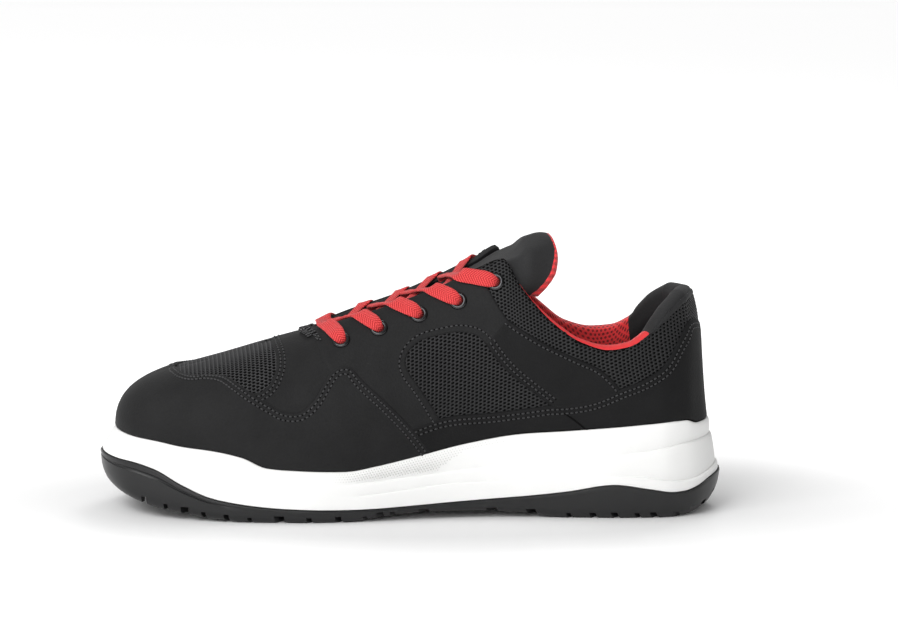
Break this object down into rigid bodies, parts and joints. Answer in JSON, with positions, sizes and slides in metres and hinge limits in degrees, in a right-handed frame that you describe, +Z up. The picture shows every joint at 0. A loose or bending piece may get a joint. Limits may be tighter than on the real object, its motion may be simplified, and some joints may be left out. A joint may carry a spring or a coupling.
{
  "type": "safety shoe",
  "caption": "Low lace-up safety shoe for the right foot, rounded toe box, hollow upper with overlays and open collar, thick flared sole with cross-grooved tread",
  "frame": {"origin": "centre of the bounding box's bottom face, on the floor under the sole", "axes": "+X from toe to heel, +Y to the shoe's outer side, +Z up"},
  "size_m": [0.302, 0.103, 0.1308],
  "materials": {
    "outsole_rubber": "satin black rubber",
    "midsole_foam": "matt white moulded foam",
    "insole_textile": "flat dark textile",
    "upper_mesh": "black open mesh over foam, red mesh lining",
    "microfibre": "black napped microfibre",
    "eyelet_metal": "dark coated metal",
    "lace_textile": "flat woven red lace"
  },
  "bodies": {
    "root": {"outsole": "outsole_rubber", "midsole": "midsole_foam", "insole": "insole_textile", "upper": "upper_mesh", "tongue": "microfibre", "toe_guard": "microfibre", "vamp_saddle": "microfibre", "heel_counter": "microfibre", "eyestay_inner": "microfibre", "eyestay_outer": "microfibre", "strap_inner": "microfibre", "strap_outer": "microfibre", "band_inner": "microfibre", "band_outer": "microfibre", "eyelet_inner_1": "eyelet_metal", "eyelet_inner_2": "eyelet_metal", "eyelet_inner_3": "eyelet_metal", "eyelet_inner_4": "eyelet_metal", "eyelet_inner_5": "eyelet_metal", "eyelet_outer_1": "eyelet_metal", "eyelet_outer_2": "eyelet_metal", "eyelet_outer_3": "eyelet_metal", "eyelet_outer_4": "eyelet_metal", "eyelet_outer_5": "eyelet_metal", "lace_bar": "lace_textile", "lace_cross_1": "lace_textile", "lace_cross_2": "lace_textile", "lace_cross_3": "lace_textile", "lace_cross_4": "lace_textile"}
  },
  "joints": []
}
